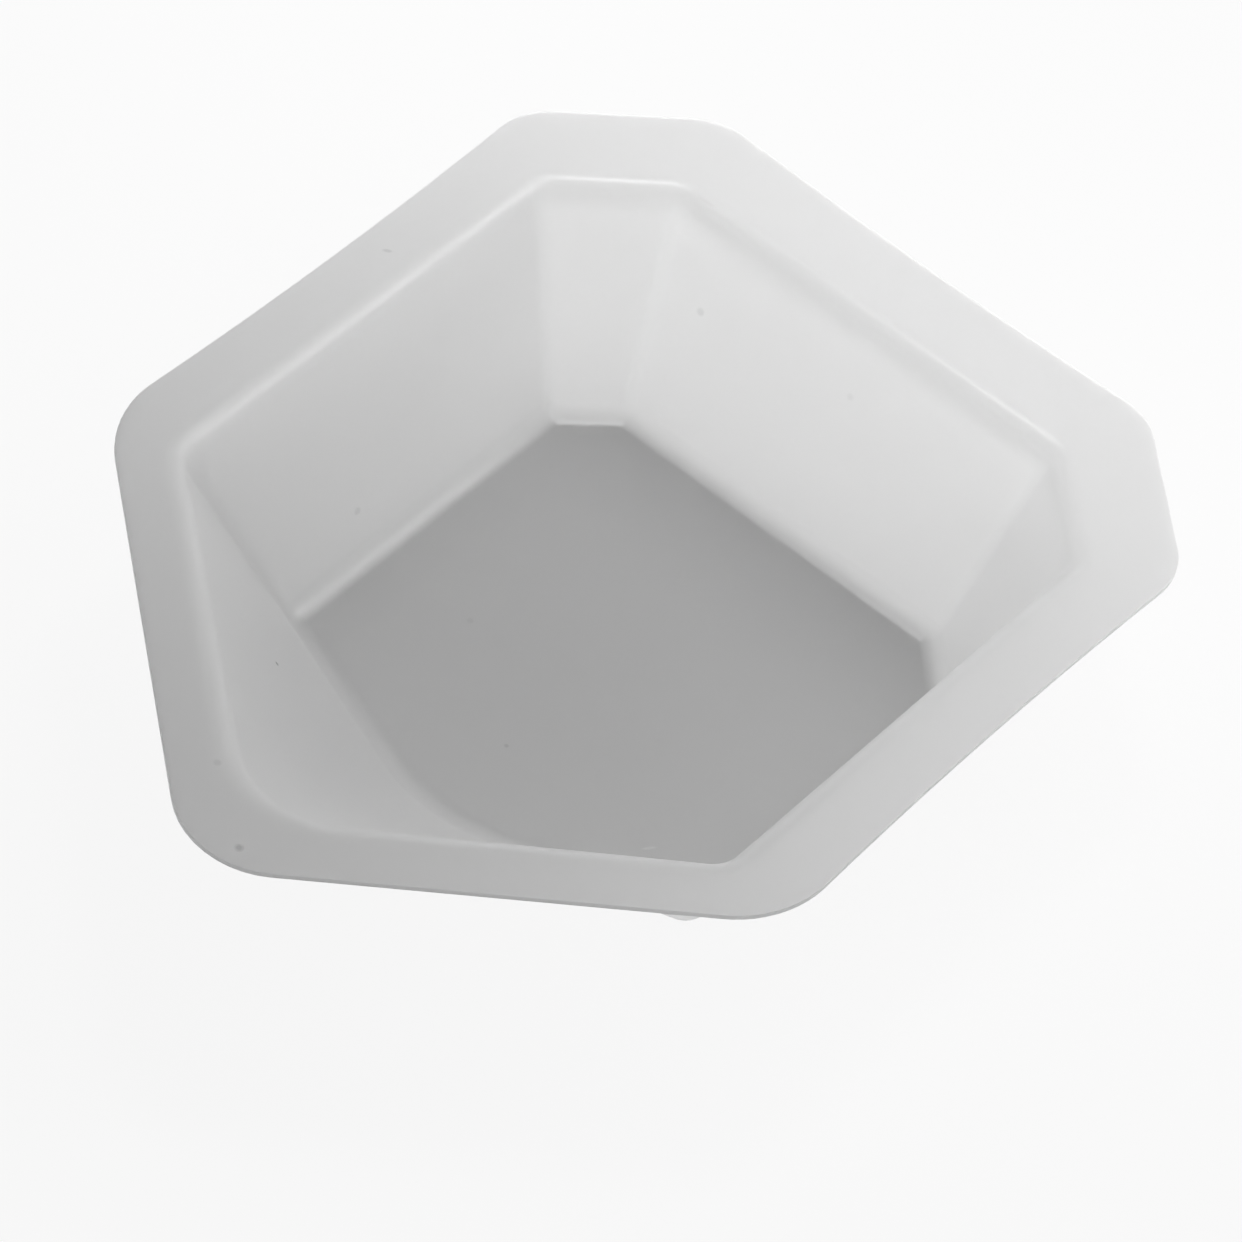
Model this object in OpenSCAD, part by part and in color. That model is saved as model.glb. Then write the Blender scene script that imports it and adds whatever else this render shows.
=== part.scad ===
// Weighing boat: one thin sheet of polystyrene, drawn into a seven-sided dish
// with a flat flange, and trimmed along the flange's outer edge.
// +Z is up, the spout points to -Y, and the dish is the same on both sides of X = 0.
// The origin is under the middle of the dish, on the surface that it stands on.

/* [Rim] */
// Width across the two long sides
rim_width = 56.4; // [46:0.2:68]
// Length from the back edge to where the two spout edges would meet
rim_length = 73; // [60:0.5:88]
// Length of the back edge, corner to corner
back_edge = 37; // [30:0.5:45]
// How far forward the cut-off back corners reach
corner_cut = 9.2; // [7:0.2:12]
// Distance from the back edge to the shoulders, where the spout begins
shoulder = 49.8; // [41:0.2:60]
// Radius of the four back corners of the rim
rim_corner_radius = 5; // [1:0.5:8]
// Radius of the rim at the shoulders
rim_shoulder_radius = 8; // [1:0.5:12]
// Radius of the rim at the tip of the spout
rim_tip_radius = 6.5; // [1:0.5:12]
// How far the back and side edges bow inward at their middle
rim_bow = 0.35; // [0:0.05:0.8]

/* [Flange] */
// Width of the flange along the back edge
flange_back = 7; // [4:0.1:9]
// Width of the flange along the cut-off corners
flange_cut = 6.8; // [4:0.1:9]
// Width of the flange along the long sides
flange_side = 5.3; // [4:0.1:7]
// Width of the flange along the spout
flange_spout = 4.1; // [3:0.1:6]

/* [Bowl] */
// Depth from the flange to the floor, inside
depth = 16.6; // [10:0.2:22]
// How far the back wall leans in from mouth to floor
back_run = 5.3; // [3:0.1:8]
// How far the side walls lean in
side_run = 5.5; // [3:0.1:8]
// How far the floor's shoulders lie behind those of the mouth
shoulder_run = 6.2; // [3:0.1:12]
// How much is cut off the floor's two back corners, each way
floor_cut = 3.8; // [2:0.1:7]
// How far the floor's blunt nose stands forward of its shoulders
floor_nose = 5.7; // [2:0.1:10]

/* [Corners of the bowl] */
// Radius of the four back corners of the mouth
mouth_corner_radius = 2; // [1.5:0.1:4]
// Radius of the mouth at the shoulders
mouth_shoulder_radius = 2.5; // [1.5:0.1:6]
// Radius of the mouth at the tip of the spout
mouth_tip_radius = 7; // [2:0.5:12]
// Radius of the four back corners and the shoulders of the floor
floor_corner_radius = 1.3; // [1.2:0.1:2.5]
// Radius of the floor's blunt nose
floor_nose_radius = 14; // [2:0.5:20]
// Radius of the bend between wall and flange, on the upper face
mouth_roll = 1.2; // [0.8:0.1:2]
// Radius of the bend between wall and floor, on the upper face
floor_bend = 1; // [0.4:0.1:1.2]

/* [Sheet] */
// Thickness of the sheet
sheet = 0.4; // [0.3:0.05:0.6]

/* [Hidden] */

arc_steps = 6;      // chords in each rounded corner
edge_steps = 4;     // chords along each straight edge
bend_steps = 4;     // chords through each bend of the sheet
wall_steps = 3;     // chords down the wall between the two bends
trim_margin = 2;    // sheet beyond the rim, which the die cuts away
die_clearance = 1;  // how far the die reaches past the sheet, above and below

// Outlines run counter-clockwise from the tip of the spout:
// tip, shoulder, side corner, back corner, back corner, side corner, shoulder
rim_outline = [
    [0, -rim_length],
    [rim_width / 2, -shoulder],
    [rim_width / 2, -corner_cut],
    [back_edge / 2, 0],
    [-back_edge / 2, 0],
    [-rim_width / 2, -corner_cut],
    [-rim_width / 2, -shoulder]
];
flange_widths = by_edge(flange_spout, flange_side, flange_cut, flange_back);
mouth_outline = inset(rim_outline, flange_widths);

floor_half = mouth_outline[1].x - side_run;
floor_shoulder = mouth_outline[1].y + shoulder_run;
floor_back = mouth_outline[3].y - back_run;
floor_outline = [
    [0, floor_shoulder - floor_nose],
    [floor_half, floor_shoulder],
    [floor_half, floor_back - floor_cut],
    [floor_half - floor_cut, floor_back],
    [floor_cut - floor_half, floor_back],
    [-floor_half, floor_back - floor_cut],
    [-floor_half, floor_shoulder]
];

no_bow = by_edge(0, 0, 0, 0);
rim_ring = ring(
    rim_outline,
    by_corner(rim_tip_radius, rim_shoulder_radius, rim_corner_radius),
    by_edge(0, rim_bow, 0, rim_bow)
);
blank_ring = ring(
    inset(rim_outline, -trim_margin * by_edge(1, 1, 1, 1)),
    by_corner(rim_tip_radius, rim_shoulder_radius, rim_corner_radius),
    no_bow
);
mouth_ring = ring(
    mouth_outline,
    by_corner(mouth_tip_radius, mouth_shoulder_radius, mouth_corner_radius),
    no_bow
);
floor_ring = ring(
    floor_outline,
    by_corner(floor_nose_radius, floor_corner_radius, floor_corner_radius),
    no_bow
);

stations = len(mouth_ring);
rim_middle = (min([for (p = rim_ring) p.y]) + max([for (p = rim_ring) p.y])) / 2;

// One value for each edge of an outline, the same on both sides
function by_edge(spout, side, cut, back) = [spout, side, cut, back, cut, side, spout];

// One radius for each corner of an outline
function by_corner(tip, shoulder, corner) =
    [tip, shoulder, corner, corner, corner, corner, shoulder];

function unit(v) = v / norm(v);
function after(i, n) = (i + 1) % n;
function before(i, n) = (i + n - 1) % n;

// Inward normal of edge i of a counter-clockwise outline
function edge_normal(outline, i) =
    let (along = unit(outline[after(i, len(outline))] - outline[i]))
    [-along.y, along.x];

// Where the lines a * p = s and b * p = t meet
function meet(a, s, b, t) =
    let (k = a.x * b.y - a.y * b.x)
    [(s * b.y - t * a.y) / k, (a.x * t - b.x * s) / k];

// An outline with each edge moved inward by its own width
function inset(outline, widths) =
    let (n = len(outline))
    [for (i = [0:n - 1])
        let (
            h = before(i, n),
            a = edge_normal(outline, h),
            b = edge_normal(outline, i)
        )
        meet(a, a * outline[i] + widths[h], b, b * outline[i] + widths[i])];

// Points of the arc that rounds corner b, between its neighbours a and c
function corner_arc(a, b, c, radius) =
    let (
        u = unit(a - b),
        v = unit(c - b),
        half = acos(u * v) / 2,
        centre = b + unit(u + v) * radius / sin(half),
        first = b + u * radius / tan(half) - centre,
        start = atan2(first.y, first.x),
        sweep = 180 - 2 * half
    )
    [for (k = [0:arc_steps])
        let (angle = start + sweep * k / arc_steps)
        centre + radius * [cos(angle), sin(angle)]];

// Points inside the edge from p to q, which bows inward by the given amount
function edge_points(p, q, bow) =
    let (inward = [p.y - q.y, q.x - p.x] / norm(q - p))
    [for (k = [1:edge_steps - 1])
        let (t = k / edge_steps)
        p + (q - p) * t + inward * bow * 4 * t * (1 - t)];

// All points of a rounded outline, the same number for every outline
function ring(outline, radii, bows) =
    let (
        n = len(outline),
        arcs = [for (i = [0:n - 1])
            corner_arc(outline[before(i, n)], outline[i], outline[after(i, n)], radii[i])]
    )
    [for (i = [0:n - 1])
        each concat(arcs[i], edge_points(arcs[i][arc_steps], arcs[after(i, n)][0], bows[i]))];

// Upper face of the sheet at one station, from the floor outward to the blank's edge
function profile(i) =
    let (
        foot = floor_ring[i],
        lean = mouth_ring[i] - foot,
        run = norm(lean),
        out = lean / run,
        slope = atan2(depth, run),
        bend = [for (k = [0:bend_steps]) slope * k / bend_steps],
        low = [for (a = bend)
            [floor_bend * (sin(a) - tan(slope / 2)), floor_bend * (1 - cos(a))]],
        high = [for (k = [bend_steps:-1:0])
            let (a = bend[k])
            [run + mouth_roll * (tan(slope / 2) - sin(a)), depth - mouth_roll * (1 - cos(a))]],
        wall = [for (k = [1:wall_steps - 1])
            low[bend_steps] + (high[0] - low[bend_steps]) * k / wall_steps]
    )
    concat(
        [for (p = concat(low, wall, high)) place(foot + out * p.x, p.y)],
        [place(blank_ring[i], depth)]
    );

// A point of the outlines' plane, at a height above the floor's upper face
function place(p, height) = [p.x, p.y - rim_middle, height + sheet];

upper = [for (i = [0:stations - 1]) profile(i)];
rings = len(upper[0]);
flat_from = rings - 2;

// Unit normal of the upper face: straight up on the floor and the flange
function normal_at(i, k) =
    k == 0 || k >= flat_from
        ? [0, 0, 1]
        : unit(cross(
            upper[after(i, stations)][k] - upper[before(i, stations)][k],
            upper[i][k - 1] - upper[i][k + 1]
        ));

sheet_points = concat(
    [for (i = [0:stations - 1]) each upper[i]],
    [for (i = [0:stations - 1]) for (k = [0:rings - 1]) upper[i][k] - sheet * normal_at(i, k)]
);

// Number of ring k's point at station i, on the upper or the lower face
function upper_index(i, k) = (i % stations) * rings + k;
function lower_index(i, k) = stations * rings + upper_index(i, k);

// The formed sheet before it is trimmed
module formed_sheet() {
    steps = [for (i = [0:stations - 1]) for (k = [0:rings - 2]) [i, k]];
    upper_faces = [for (s = steps) let (i = s[0], k = s[1]) each [
        [upper_index(i, k), upper_index(i + 1, k), upper_index(i + 1, k + 1)],
        [upper_index(i, k), upper_index(i + 1, k + 1), upper_index(i, k + 1)]
    ]];
    lower_faces = [for (s = steps) let (i = s[0], k = s[1]) each [
        [lower_index(i, k), lower_index(i + 1, k + 1), lower_index(i + 1, k)],
        [lower_index(i, k), lower_index(i, k + 1), lower_index(i + 1, k + 1)]
    ]];
    edge_faces = [for (i = [0:stations - 1]) let (k = rings - 1) each [
        [upper_index(i, k), upper_index(i + 1, k), lower_index(i + 1, k)],
        [upper_index(i, k), lower_index(i + 1, k), lower_index(i, k)]
    ]];
    upper_floor = [for (i = [stations - 1:-1:0]) upper_index(i, 0)];
    lower_floor = [for (i = [0:stations - 1]) lower_index(i, 0)];
    polyhedron(sheet_points, concat(
        upper_faces, lower_faces, edge_faces, [upper_floor, lower_floor]
    ));
}

// The die whose outline is the rim's outer edge
module trimming_die() {
    translate([0, -rim_middle, -die_clearance])
    linear_extrude(depth + sheet + 2 * die_clearance)
    polygon(rim_ring);
}

module boat() {
    color("whitesmoke")
    intersection() {
        formed_sheet();
        trimming_die();
    }
}

boat();
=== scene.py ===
"""Weighing boat: a thin white dish with a flat flange and a pouring end, on a pale studio floor."""
import math
from typing import NamedTuple

import bmesh
import bpy
from bpy.props import FloatProperty, FloatVectorProperty, IntProperty, PointerProperty
from mathutils import Matrix, Vector


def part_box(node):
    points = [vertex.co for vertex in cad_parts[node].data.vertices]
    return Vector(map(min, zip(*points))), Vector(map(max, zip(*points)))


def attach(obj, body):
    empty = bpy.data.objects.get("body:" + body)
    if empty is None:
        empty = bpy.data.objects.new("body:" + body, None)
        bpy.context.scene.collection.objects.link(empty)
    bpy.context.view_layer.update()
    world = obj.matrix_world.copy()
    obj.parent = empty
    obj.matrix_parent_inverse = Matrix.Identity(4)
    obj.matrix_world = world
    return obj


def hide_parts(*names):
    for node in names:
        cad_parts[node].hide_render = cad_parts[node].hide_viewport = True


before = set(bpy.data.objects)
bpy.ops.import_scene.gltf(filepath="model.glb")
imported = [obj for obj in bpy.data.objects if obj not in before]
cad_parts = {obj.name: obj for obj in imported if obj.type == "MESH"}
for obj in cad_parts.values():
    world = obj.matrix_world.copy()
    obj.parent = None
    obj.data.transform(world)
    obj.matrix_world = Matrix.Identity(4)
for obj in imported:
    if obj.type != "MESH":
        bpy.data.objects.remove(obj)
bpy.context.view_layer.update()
LOWEST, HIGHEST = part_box("boat")
FLOOR_LEVEL = LOWEST.z
RIM_LEVEL = HIGHEST.z
BACK_EDGE = HIGHEST.y

TOUCH = 1e-6                        # points nearer than this are the same
STRAIGHT = 0.0025                   # edges longer than this are the straight ones of an outline
BEND_ANGLE = math.radians(20)       # faces that meet at more than this have a bend between them
SMOOTH_ANGLE = math.radians(40)     # faces that meet at less than this are shaded as one
CUT_ANGLE = math.radians(60)        # faces of the sheet that meet at more than this have a cut edge
CUT_STEPS = 2                       # facets across the rounded cut edge
MARK_CORE = 0.4                     # share of a mark's half width within which it is at its full strength
MARK_EDGE = 1.3                     # share of it at which the mark is gone

bl_info = {
    "name": "Weighing Boat",
    "version": (1, 0, 0),
    "blender": (4, 5, 0),
    "location": "3D View > Sidebar > Weighing Boat",
    "description": "Models a formed plastic weighing boat and its studio",
    "category": "Mesh",
}


# Kinds of value that the sidebar shows


def length(name, description, default):
    """A size in metres."""
    return FloatProperty(
        name=name, description=description, default=default, min=0, unit="LENGTH", precision=5
    )


def share(name, description, default):
    """A number from 0 to 1."""
    return FloatProperty(
        name=name, description=description, default=default, min=0, max=1, subtype="FACTOR"
    )


def angle(name, description, degrees):
    """An angle, given in degrees."""
    return FloatProperty(
        name=name, description=description, default=math.radians(degrees), unit="ROTATION"
    )


def steps(name, description, default):
    """A number of facets or cuts."""
    return IntProperty(name=name, description=description, default=default, min=1)


def shade(name, description, level):
    """A colour, by default a grey of the given level."""
    return FloatVectorProperty(
        name=name, description=description, default=(level, level, level), min=0, max=1, subtype="COLOR"
    )


class RimSizes(bpy.types.PropertyGroup):
    """The seven-sided outline along which the sheet is trimmed, and the flange inside it."""

    width: length("Width", "Across the two long sides", 0.0564)
    full_length: length("Length", "From the back edge to where the spout edges would meet", 0.073)
    back_edge: length("Back edge", "Length of the back edge, corner to corner", 0.037)
    corner_cut: length("Corner cut", "How far forward the cut-off back corners reach", 0.0092)
    shoulder: length("Shoulder", "From the back edge to the shoulders of the spout", 0.0498)
    corner_radius: length("Corner radius", "Of the four back corners", 0.005)
    shoulder_radius: length("Shoulder radius", "Of the two shoulders", 0.008)
    tip_radius: length("Tip radius", "Of the tip of the spout", 0.0065)
    bow: length("Bow", "How far the back and side edges bow inward", 0.00035)
    flange_back: length("Back flange", "Width of the flange along the back edge", 0.007)
    flange_cut: length("Corner flange", "Width of the flange along the cut-off corners", 0.0068)
    flange_side: length("Side flange", "Width of the flange along the long sides", 0.0053)
    flange_spout: length("Spout flange", "Width of the flange along the spout", 0.0041)


class BowlSizes(bpy.types.PropertyGroup):
    """The bowl's walls and floor, and the bends of the sheet."""

    back_run: length("Back run", "How far the back wall leans in", 0.0053)
    side_run: length("Side run", "How far the side walls lean in", 0.0055)
    shoulder_run: length("Shoulder run", "From the mouth's shoulders to the floor's", 0.0062)
    floor_cut: length("Floor cut", "Cut off the floor's back corners, each way", 0.0038)
    floor_nose: length("Floor nose", "How far the floor's nose stands out", 0.0057)
    mouth_corner_radius: length("Mouth corner radius", "Of the four back corners", 0.002)
    mouth_shoulder_radius: length("Mouth shoulder radius", "Of the two shoulders", 0.0025)
    mouth_tip_radius: length("Mouth tip radius", "Of the tip of the spout", 0.007)
    floor_corner_radius: length("Floor corner radius", "Of the floor's corners", 0.0013)
    floor_nose_radius: length("Floor nose radius", "Of the floor's blunt nose", 0.014)
    mouth_roll: length("Mouth roll", "Setback of the roll between wall and flange", 0.0013)
    roll_shape: share("Roll shape", "0.5 for a round mouth roll, more for a tighter middle", 0.62)
    floor_bend: length("Floor bend", "Setback of the bend between wall and floor", 0.0012)
    sheet: length("Sheet", "Thickness of the sheet", 0.0004)
    cut_round: length("Cut edge", "Rounding of the flange's cut edge", 0.00006)
    corner_steps: steps("Corner steps", "Facets in a corner", 10)
    edge_cuts: steps("Edge cuts", "Cuts along an edge", 9)
    bend_steps: steps("Bend steps", "Facets through a bend", 8)
    wall_cuts: steps("Wall cuts", "Cuts down the wall", 5)


class SheetFinish(bpy.types.PropertyGroup):
    """The satin white polystyrene, the dust on it, and a scratch painted paler as a painted glint."""

    colour: shade("Colour", "White of the plastic", 0.86)
    cloud: share("Cloud", "How much darker its cloudy patches are", 0.02)
    cloud_size: length("Cloud size", "Across a cloudy patch", 0.012)
    scatter: length("Scatter", "How far light travels inside the sheet", 0.004)
    refraction: FloatProperty(
        name="Refraction", description="Refractive index of the plastic", default=1.59, min=1
    )
    roughness: share("Roughness", "Of the satin surface", 0.30)
    unevenness: share("Unevenness", "How far the roughness varies between cloudy patches", 0.06)
    ripple_size: length("Ripple size", "Across a ripple of the surface", 0.003)
    ripple_height: length("Ripple height", "Height of the ripples", 0.000006)
    dust: shade("Dust", "Colour of the specks", 0.03)
    # Colour of a scratch on the floor: a real mark, painted paler than the sheet as a painted glint
    scuff_and_glint: shade("Scuff", "Colour of the scuff", 0.97)


class StudioSetup(bpy.types.PropertyGroup):
    """The floor, the lamps and the camera."""

    floor_size: length("Floor size", "Across the square floor", 6)
    floor_colour: shade("Floor", "Colour of the floor", 0.8)
    whiteness: share("Whiteness", "How far the floor fades to white", 0.9)
    ambient: FloatProperty(
        name="Ambient", description="Even light from all round", default=0.1, min=0
    )
    lens: FloatProperty(
        name="Lens", description="Focal length in millimetres", default=182.9, unit="CAMERA"
    )
    distance: length("Distance", "From the camera to the point that it looks at", 0.3961)
    near_limit: length("Near limit", "Nearest distance that the camera sees", 0.01)
    azimuth: angle("Azimuth", "Turn about the dish", 32.18)
    elevation: angle("Elevation", "Height above the horizon", 48.91)
    roll: angle("Roll", "Turn of the camera about its own axis", 10.95)
    aim: FloatVectorProperty(
        name="Aim", description="Point that it looks at", default=(0.00577, -0.00335, 0.017),
        subtype="TRANSLATION", precision=5,
    )


class Outline(NamedTuple):
    """A seven-sided outline: its corners, their radii, and how far its edges bow inward."""

    corners: list
    radii: list
    bows: list


class Lamp(NamedTuple):
    """A soft lamp that faces the dish, with its turn and height as seen from the dish in degrees.

    One that isn't mirrored lights the sheet, and doesn't show as a glare on it.
    """

    name: str
    azimuth: float
    elevation: float
    distance: float
    width: float
    height: float
    power: float
    mirrored: bool = True


class Mark(NamedTuple):
    """A small oval mark on the sheet, with its turn about Z and its strength from 0 to 1."""

    place: tuple
    turn: float
    long: float
    wide: float
    strength: float


# Each lamp's name, azimuth, elevation, distance, width, height, power and, if not mirrored, False
LAMPS = (
    Lamp("front_lamp", 30, 15, 1.0, 0.4, 0.4, 2.0, False),
    Lamp("top_lamp", 205, 72, 0.30, 0.06, 0.06, 0.115),
    Lamp("upper_lamp", 150, 55, 0.12, 0.08, 0.08, 0.041),
    Lamp("left_lamp", 230, 42, 0.10, 0.06, 0.06, 0.019, False),
    Lamp("low_back_lamp", 150, 10, 0.14, 0.10, 0.03, 0.050, False),
    Lamp("low_left_lamp", 225, 10, 0.14, 0.10, 0.03, 0.045, False),
)
# Each mark's place, turn in degrees, half length, half width and strength
SPECKS = (
    Mark((-0.0257, 0.0097, 0.0170), 35, 0.00035, 0.00016, 0.17),
    Mark((-0.0114, 0.0264, 0.0102), 0, 0.00031, 0.00031, 0.16),
    Mark((0.0011, 0.0268, 0.0115), 0, 0.00028, 0.00028, 0.06),
    Mark((-0.0186, 0.0007, 0.0040), 0, 0.00028, 0.00028, 0.22),
    Mark((-0.0089, 0.0016, 0.0004), 0, 0.00024, 0.00024, 0.065),
    Mark((-0.0108, -0.0163, 0.0091), 60, 0.00028, 0.00016, 0.55),
    Mark((-0.0002, -0.0047, 0.0004), 0, 0.00017, 0.00017, 0.14),
    Mark((-0.0040, -0.0301, 0.0170), 0, 0.00027, 0.00027, 0.12),
    Mark((0.0014, -0.0340, 0.0170), 0, 0.00029, 0.00029, 0.50),
)
# A scratch on the floor: partly a real mark, partly a painted glint, painted paler than the sheet
SCUFF_AND_GLINT = Mark((0.0118, -0.0044, 0.0004), 55, 0.0005, 0.00012, 1)


# Outlines: corners run counter-clockwise from the tip of the spout, with y = 0 at the back edge


def by_edge(spout, side, cut, back):
    """One value for each edge of an outline, alike on both sides."""
    return [spout, side, cut, back, cut, side, spout]


def by_corner(tip, shoulder, corner):
    """One radius for each corner of an outline."""
    return [tip, shoulder, corner, corner, corner, corner, shoulder]


def both_sides(tip, shoulder, side, back):
    """The seven corners, from the tip and the three corners on the right."""
    right = [Vector(p) for p in (shoulder, side, back)]
    left = [Vector((-p.x, p.y)) for p in reversed(right)]
    return [Vector(tip), *right, *left]


def rim_corners(rim):
    """The rim's corners."""
    half = rim.width / 2
    return both_sides(
        (0, -rim.full_length), (half, -rim.shoulder), (half, -rim.corner_cut), (rim.back_edge / 2, 0)
    )


def inset_corners(corners, widths):
    """The corners of an outline whose edges have moved inward, each by its own width."""
    count = len(corners)
    normals = []
    for i, corner in enumerate(corners):
        along = (corners[(i + 1) % count] - corner).normalized()
        normals.append(Vector((-along.y, along.x)))
    moved = []
    for i, corner in enumerate(corners):
        a, b = normals[i - 1], normals[i]
        overlap = a.dot(b)
        to_a = widths[i - 1] - widths[i] * overlap
        to_b = widths[i] - widths[i - 1] * overlap
        moved.append(corner + (to_a * a + to_b * b) / (1 - overlap ** 2))
    return moved


def floor_corners(mouth, bowl):
    """The floor's corners, from the mouth's."""
    half = mouth[1].x - bowl.side_run
    front = mouth[1].y + bowl.shoulder_run
    back = mouth[3].y - bowl.back_run
    cut = bowl.floor_cut
    return both_sides((0, front - bowl.floor_nose), (half, front), (half, back - cut), (half - cut, back))


# Modelling helpers, for the object in edit mode


def edit_mesh():
    """The mesh that is being edited, and its BMesh."""
    mesh = bpy.context.edit_object.data
    return mesh, bmesh.from_edit_mesh(mesh)


def pick_vertices(wanted):
    """Selects the shown vertices that pass a test, and what lies between them."""
    bpy.ops.mesh.select_mode(type="VERT")
    bpy.ops.mesh.select_all(action="DESELECT")
    mesh, shape = edit_mesh()
    for vertex in shape.verts:
        if not vertex.hide and wanted(vertex):
            vertex.select_set(True)
    shape.select_flush(True)
    bmesh.update_edit_mesh(mesh)


def pick_edges(wanted):
    """Selects the shown edges that pass a test."""
    bpy.ops.mesh.select_mode(type="EDGE")
    bpy.ops.mesh.select_all(action="DESELECT")
    mesh, shape = edit_mesh()
    for edge in shape.edges:
        if not edge.hide and wanted(edge):
            edge.select_set(True)
    bmesh.update_edit_mesh(mesh)


def near(place):
    """A test for vertices at a place."""
    return lambda vertex: (vertex.co - place).length < TOUCH


def is_level(edge, level):
    """True if both ends of an edge are at a level."""
    return all(abs(vertex.co.z - level) < TOUCH for vertex in edge.verts)


def is_bend(edge):
    """True if the two faces beside an edge meet at an angle."""
    return len(edge.link_faces) == 2 and edge.calc_face_angle() > BEND_ANGLE


def add_polygon(places):
    """Adds a flat polygon to the object in edit mode, with its corners at the given places."""
    bpy.ops.mesh.primitive_circle_add(
        vertices=len(places),
        radius=BACK_EDGE,
        fill_type="NGON",
        location=(0, 0, places[0].z),
        rotation=(0, 0, math.pi),
    )
    starts = [vertex.co.copy() for vertex in edit_mesh()[1].verts if not vertex.hide]
    for start, place in zip(starts, places):
        pick_vertices(near(start))
        bpy.ops.transform.translate(value=place - start)


def arc_profile(half_angle):
    """The bevel profile that makes a corner with the given half angle a round arc."""
    return (1 - 0.5 / (1 + math.sin(half_angle))) ** 2


def bow_edge(first, last, bow, cuts):
    """Bows a straight edge to its left, by moving the cuts along it."""
    along = (last - first).normalized()
    inward = Vector((-along.y, along.x, 0))
    for k in range(1, cuts + 1):
        t = k / (cuts + 1)
        pick_vertices(near(first.lerp(last, t)))
        bpy.ops.transform.translate(value=inward * bow * 4 * t * (1 - t))


def add_outline(outline, level, bowl):
    """Adds an outline with round corners to the object in edit mode, as a loop of edges."""
    bpy.ops.mesh.select_all(action="SELECT")
    bpy.ops.mesh.hide()
    places = [Vector((p.x, p.y + BACK_EDGE, level)) for p in outline.corners]
    add_polygon(places)
    following = places[1:] + places[:1]
    setbacks = []
    for i, (place, ahead) in enumerate(zip(places, following)):
        half_angle = (places[i - 1] - place).angle(ahead - place) / 2
        setbacks.append(outline.radii[i] / math.tan(half_angle))
        pick_vertices(near(place))
        bpy.ops.mesh.bevel(
            affect="VERTICES",
            offset=setbacks[i],
            segments=bowl.corner_steps,
            profile=arc_profile(half_angle),
        )
    bpy.ops.mesh.select_all(action="SELECT")
    bpy.ops.mesh.delete(type="ONLY_FACE")
    pick_edges(lambda edge: edge.calc_length() > STRAIGHT)
    bpy.ops.mesh.subdivide(number_cuts=bowl.edge_cuts)
    for i, (place, ahead) in enumerate(zip(places, following)):
        if outline.bows[i]:
            along = (ahead - place).normalized()
            first = place + along * setbacks[i]
            last = ahead - along * setbacks[(i + 1) % len(places)]
            bow_edge(first, last, outline.bows[i], bowl.edge_cuts)
    bpy.ops.mesh.reveal(select=False)


def apply_modifier(piece, kind, **settings):
    """Adds a modifier to a piece and applies it."""
    modifier = piece.modifiers.new(kind.title(), kind)
    for name, value in settings.items():
        setattr(modifier, name, value)
    bpy.ops.object.modifier_apply(modifier=modifier.name)


def boat_outlines(rim, bowl):
    """The outlines of the rim, the mouth and the floor."""
    rim_outline = Outline(
        rim_corners(rim),
        by_corner(rim.tip_radius, rim.shoulder_radius, rim.corner_radius),
        by_edge(0, rim.bow, 0, rim.bow),
    )
    flange = by_edge(rim.flange_spout, rim.flange_side, rim.flange_cut, rim.flange_back)
    mouth_outline = Outline(
        inset_corners(rim_outline.corners, flange),
        by_corner(bowl.mouth_tip_radius, bowl.mouth_shoulder_radius, bowl.mouth_corner_radius),
        by_edge(0, 0, 0, 0),
    )
    floor_outline = Outline(
        floor_corners(mouth_outline.corners, bowl),
        by_corner(bowl.floor_nose_radius, bowl.floor_corner_radius, bowl.floor_corner_radius),
        by_edge(0, 0, 0, 0),
    )
    return rim_outline, mouth_outline, floor_outline


def form_bowl(mouth_outline, floor_outline, bowl):
    """Adds the walls, the floor and the bend between them to the object in edit mode."""
    inside = FLOOR_LEVEL + bowl.sheet
    add_outline(mouth_outline, RIM_LEVEL, bowl)
    add_outline(floor_outline, inside, bowl)
    bpy.ops.mesh.select_all(action="SELECT")
    bpy.ops.mesh.bridge_edge_loops(number_cuts=bowl.wall_cuts, interpolation="LINEAR")
    pick_edges(lambda edge: is_level(edge, inside))
    bpy.ops.mesh.edge_face_add()
    pick_edges(lambda edge: is_level(edge, inside) and is_bend(edge))
    bpy.ops.mesh.bevel(offset=bowl.floor_bend, segments=bowl.bend_steps, affect="EDGES")


def form_flange(rim_outline, bowl):
    """Adds the flange, and the roll between it and the walls, to the object in edit mode."""
    add_outline(rim_outline, RIM_LEVEL, bowl)
    pick_edges(lambda edge: len(edge.link_faces) < 2)
    bpy.ops.mesh.bridge_edge_loops()
    pick_edges(lambda edge: is_level(edge, RIM_LEVEL) and is_bend(edge))
    bpy.ops.mesh.bevel(
        offset=bowl.mouth_roll, segments=bowl.bend_steps, profile=bowl.roll_shape, affect="EDGES"
    )


def face_upwards():
    """Turns the faces of the open sheet in edit mode so that the floor, the largest, faces up."""
    bpy.ops.mesh.select_all(action="SELECT")
    bpy.ops.mesh.normals_make_consistent(inside=False)
    shape = edit_mesh()[1]
    if max(shape.faces, key=lambda face: face.calc_area()).normal.z < 0:
        bpy.ops.mesh.flip_normals()


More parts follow.
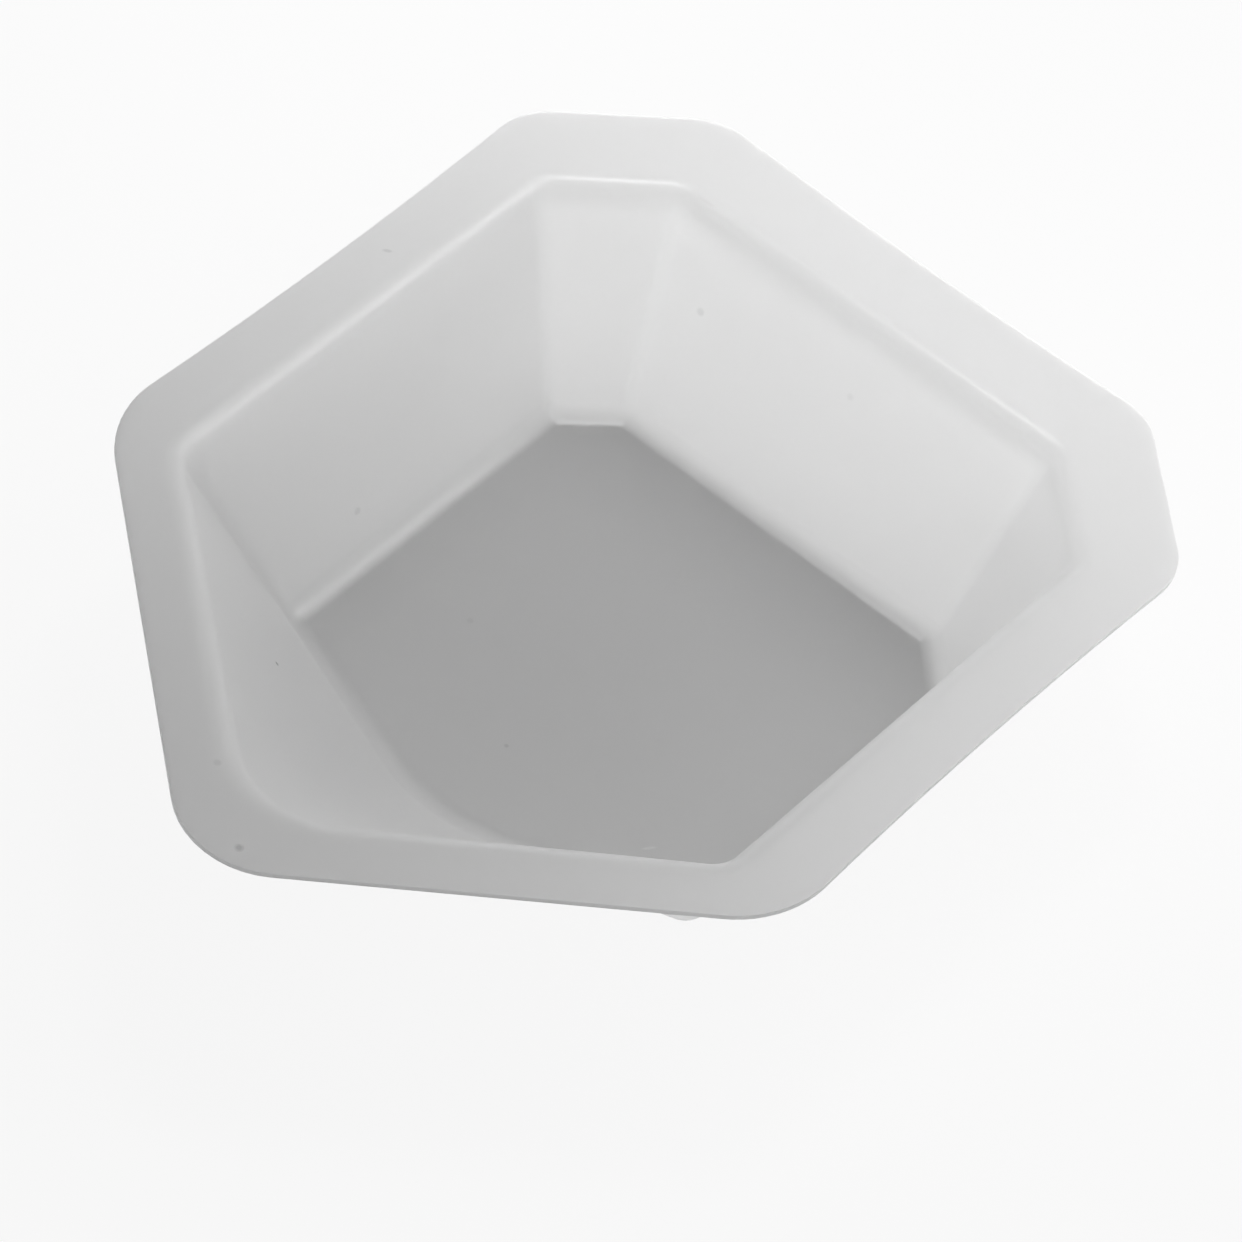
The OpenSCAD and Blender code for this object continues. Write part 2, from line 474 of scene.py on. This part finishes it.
def make_boat(rim, bowl):
    """Models the whole dish as one formed and trimmed sheet."""
    rim_outline, mouth_outline, floor_outline = boat_outlines(rim, bowl)
    bpy.ops.object.select_all(action="DESELECT")
    bpy.ops.object.add(type="MESH", enter_editmode=True)
    boat = bpy.context.object
    boat.name = boat.data.name = "formed_boat"
    form_bowl(mouth_outline, floor_outline, bowl)
    form_flange(rim_outline, bowl)
    face_upwards()
    bpy.ops.object.mode_set(mode="OBJECT")

    apply_modifier(
        boat, "SOLIDIFY", thickness=bowl.sheet, offset=-1, use_even_offset=True, use_quality_normals=True
    )
    apply_modifier(boat, "BEVEL", width=bowl.cut_round, segments=CUT_STEPS, angle_limit=CUT_ANGLE)
    bpy.ops.object.shade_smooth_by_angle(angle=SMOOTH_ANGLE)
    apply_modifier(boat, "WEIGHTED_NORMAL", keep_sharp=True)
    return boat


# Materials


class Value:
    """A shader value. Arithmetic on it adds Math nodes."""

    def __init__(self, graph, socket):
        self.graph = graph
        self.socket = socket

    def math(self, operation, *values):
        """The result of a Math node."""
        inputs = dict(enumerate([self, *values]))
        return self.graph.node("ShaderNodeMath", {"operation": operation}, inputs)

    def __add__(self, other):
        return self.math("ADD", other)

    def __sub__(self, other):
        return self.math("SUBTRACT", other)

    def __mul__(self, other):
        return self.math("MULTIPLY", other)

    def __rsub__(self, other):
        return self.graph.node("ShaderNodeMath", {"operation": "SUBTRACT"}, {0: other, 1: self})

    __radd__ = __add__
    __rmul__ = __mul__


class Graph:
    """The nodes of one material or world."""

    def __init__(self, owner):
        self.owner = owner
        owner.use_nodes = True
        self.nodes = owner.node_tree.nodes
        self.links = owner.node_tree.links
        self.nodes.clear()

    def node(self, kind, settings=None, inputs=None, output=0):
        """Adds a node with its settings and its inputs, and returns one of its outputs."""
        made = self.nodes.new(kind)
        for name, value in (settings or {}).items():
            setattr(made, name, value)
        for key, value in (inputs or {}).items():
            if isinstance(value, Value):
                self.links.new(value.socket, made.inputs[key])
            else:
                made.inputs[key].default_value = value
        return Value(self, made.outputs[output])

    def noise(self, place, size, detail):
        """Cloudy noise whose patches have about the given size in metres."""
        return self.node("ShaderNodeTexNoise", None, {"Vector": place, "Scale": 1 / size, "Detail": detail})

    def mix(self, factor, first, second):
        """A mix of two colours. The node keeps them in inputs 6 and 7, and the result in output 2."""
        return self.node(
            "ShaderNodeMix", {"data_type": "RGBA"}, {"Factor": factor, 6: first, 7: second}, output=2
        )

    def finish(self, shader):
        """Links the shader to the surface, and returns the material or world."""
        kind = "World" if isinstance(self.owner, bpy.types.World) else "Material"
        surface = self.nodes.new("ShaderNodeOutput" + kind).inputs["Surface"]
        self.links.new(shader.socket, surface)
        return self.owner


def mark_mask(graph, place, mark):
    """The mark's strength inside a small oval mark, falling softly to 0 round it."""
    inside = graph.node(
        "ShaderNodeMapping",
        {"vector_type": "TEXTURE"},
        {
            "Vector": place,
            "Location": mark.place,
            "Rotation": (0, 0, math.radians(mark.turn)),
            "Scale": (mark.long, mark.wide, mark.wide),
        },
    )
    distance = graph.node("ShaderNodeVectorMath", {"operation": "LENGTH"}, {0: inside}, "Value")
    return graph.node(
        "ShaderNodeMapRange",
        {"interpolation_type": "SMOOTHSTEP"},
        {
            "Value": distance,
            "From Min": MARK_CORE,
            "From Max": MARK_EDGE,
            "To Min": mark.strength,
            "To Max": 0,
        },
    )


def polystyrene(finish):
    """Satin white sheet that scatters light inside it, with specks of dust and a real scratch whose paler
    colour is a painted glint.
    """
    graph = Graph(bpy.data.materials.new("satin_polystyrene"))
    place = graph.node("ShaderNodeTexCoord", output="Object")
    clouds = graph.noise(place, finish.cloud_size, detail=3)
    ripple = graph.noise(place, finish.ripple_size, detail=1)
    white = graph.mix(clouds * finish.cloud, (*finish.colour, 1), (0, 0, 0, 1))
    for speck in SPECKS:
        white = graph.mix(mark_mask(graph, place, speck), white, (*finish.dust, 1))
    # The scratch: a real mark, painted paler than the sheet as a painted glint
    white = graph.mix(mark_mask(graph, place, SCUFF_AND_GLINT), white, (*finish.scuff_and_glint, 1))
    relief = graph.node(
        "ShaderNodeBump", inputs={"Strength": 1, "Distance": finish.ripple_height, "Height": ripple}
    )
    return graph.finish(graph.node("ShaderNodeBsdfPrincipled", inputs={
        "Base Color": white,
        "Roughness": finish.roughness + (clouds - 0.5) * finish.unevenness,
        "IOR": finish.refraction,
        "Subsurface Weight": 1,
        "Subsurface Radius": (1, 1, 1),
        "Subsurface Scale": finish.scatter,
        "Normal": relief,
    }))


def seen_directly(graph):
    """1 for rays from the camera, from a glossy surface or through a clear one, and 0 for others."""
    kinds = ("Is Camera Ray", "Is Glossy Ray", "Is Transmission Ray")
    camera, glossy, through = [graph.node("ShaderNodeLightPath", output=kind) for kind in kinds]
    return camera + glossy + through


def studio_floor(studio):
    """Pale floor that fades to white where it is seen, and keeps the shadow."""
    graph = Graph(bpy.data.materials.new("studio_floor"))
    matte = graph.node("ShaderNodeBsdfDiffuse", inputs={"Color": (*studio.floor_colour, 1)})
    white = graph.node("ShaderNodeEmission", inputs={"Color": (1, 1, 1, 1), "Strength": 1})
    fade = seen_directly(graph) * studio.whiteness
    return graph.finish(graph.node("ShaderNodeMixShader", inputs={0: fade, 1: matte, 2: white}))


def studio_world(studio):
    """World that lights the dish evenly, and is white where it is seen."""
    world = bpy.data.worlds.new("studio")
    graph = Graph(world)
    light = graph.node("ShaderNodeBackground", inputs={"Color": (1, 1, 1, 1), "Strength": studio.ambient})
    white = graph.node("ShaderNodeBackground", inputs={"Color": (1, 1, 1, 1), "Strength": 1})
    shader = graph.node("ShaderNodeMixShader", inputs={0: seen_directly(graph), 1: light, 2: white})
    return graph.finish(shader)


# Studio


def add_lamp(lamp):
    """A soft lamp that faces the dish. It lights the dish, but isn't seen itself."""
    azimuth, elevation = math.radians(lamp.azimuth), math.radians(lamp.elevation)
    reach = lamp.distance * math.cos(elevation)
    place = Vector((
        reach * math.sin(azimuth), -reach * math.cos(azimuth), lamp.distance * math.sin(elevation)
    ))
    bpy.ops.object.light_add(type="AREA", location=place)
    made = bpy.context.object
    made.name = made.data.name = lamp.name
    made.data.shape = "RECTANGLE"
    made.data.size = lamp.width
    made.data.size_y = lamp.height
    made.data.energy = lamp.power
    made.rotation_euler = (-place).to_track_quat("-Z", "Y").to_euler()
    made.visible_camera = False
    made.visible_glossy = lamp.mirrored


def add_camera(studio):
    """The camera, turned about the point that it looks at."""
    turn = (
        Matrix.Rotation(studio.azimuth, 4, "Z")
        @ Matrix.Rotation(math.pi / 2 - studio.elevation, 4, "X")
        @ Matrix.Rotation(studio.roll, 4, "Z")
    )
    bpy.ops.object.camera_add()
    camera = bpy.context.object
    camera.matrix_world = (
        Matrix.Translation(studio.aim) @ turn @ Matrix.Translation((0, 0, studio.distance))
    )
    camera.data.lens = studio.lens
    camera.data.clip_start = studio.near_limit
    bpy.context.scene.camera = camera


class BOAT_OT_dish(bpy.types.Operator):
    """Model the formed dish"""

    bl_idname = "boat.dish"
    bl_label = "Dish"

    def execute(self, context):
        scene = context.scene
        boat = make_boat(scene.boat_rim, scene.boat_bowl)
        boat.data.materials.append(polystyrene(scene.boat_finish))
        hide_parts("boat")
        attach(boat, "root")
        return {"FINISHED"}


class BOAT_OT_studio(bpy.types.Operator):
    """Set up the floor, the lamps and the camera"""

    bl_idname = "boat.studio"
    bl_label = "Studio"

    def execute(self, context):
        studio = context.scene.boat_studio
        bpy.ops.object.select_all(action="DESELECT")
        bpy.ops.mesh.primitive_plane_add(size=studio.floor_size, location=(0, 0, FLOOR_LEVEL))
        floor = context.object
        floor.name = "studio_floor"
        floor.data.materials.append(studio_floor(studio))
        for lamp in LAMPS:
            add_lamp(lamp)
        context.scene.world = studio_world(studio)
        add_camera(studio)
        context.scene.view_settings.view_transform = "Standard"
        return {"FINISHED"}


class BOAT_PT_panel(bpy.types.Panel):
    """Sidebar panel of the weighing boat"""

    bl_label = "Weighing Boat"
    bl_idname = "BOAT_PT_panel"
    bl_space_type = "VIEW_3D"
    bl_region_type = "UI"
    bl_category = "Weighing Boat"

    def draw(self, context):
        scene = context.scene
        for group in (scene.boat_rim, scene.boat_bowl, scene.boat_finish, scene.boat_studio):
            column = self.layout.column(align=True)
            for name in group.bl_rna.properties.keys():
                if name not in ("rna_type", "name"):
                    column.prop(group, name)
        for operator in OPERATORS:
            self.layout.operator(operator.bl_idname)


GROUPS = {
    "boat_rim": RimSizes,
    "boat_bowl": BowlSizes,
    "boat_finish": SheetFinish,
    "boat_studio": StudioSetup,
}
OPERATORS = (BOAT_OT_dish, BOAT_OT_studio)


def register():
    for kind in (*GROUPS.values(), *OPERATORS, BOAT_PT_panel):
        bpy.utils.register_class(kind)
    for name, kind in GROUPS.items():
        setattr(bpy.types.Scene, name, PointerProperty(type=kind))


def unregister():
    for name in GROUPS:
        delattr(bpy.types.Scene, name)
    for kind in (BOAT_PT_panel, *reversed(OPERATORS), *GROUPS.values()):
        bpy.utils.unregister_class(kind)


def main():
    register()
    bpy.ops.boat.studio()
    bpy.ops.boat.dish()


if __name__ == "__main__":
    main()
